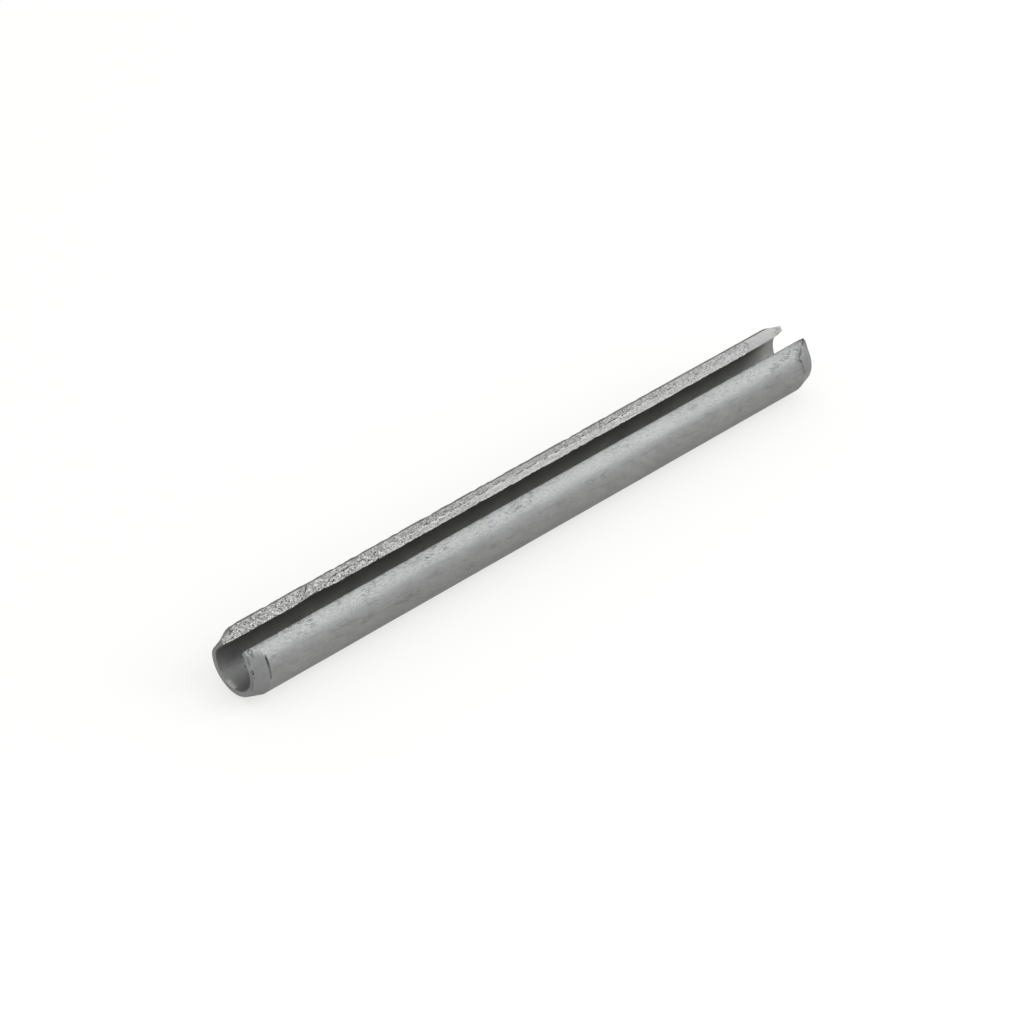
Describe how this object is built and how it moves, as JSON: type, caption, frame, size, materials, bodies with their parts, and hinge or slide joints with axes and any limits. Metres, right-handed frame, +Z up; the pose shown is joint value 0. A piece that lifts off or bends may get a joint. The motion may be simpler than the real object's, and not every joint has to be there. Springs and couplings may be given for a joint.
{
  "type": "slotted spring pin",
  "caption": "Straight tubular spring pin rolled from steel strip, with an open lengthwise slot and chamfered ends.",
  "frame": {"origin": "on the plane the pin lies on, under the middle of its length and under its axis", "axes": "+X along the pin, +Z up through the open slot, +Y across"},
  "size_m": [0.09, 0.0086, 0.0081],
  "materials": {
    "spring_steel": "matt tumbled grey, finely scuffed, with rough sheared edges along the slot"
  },
  "bodies": {
    "root": {"pin": "spring_steel"}
  },
  "joints": []
}
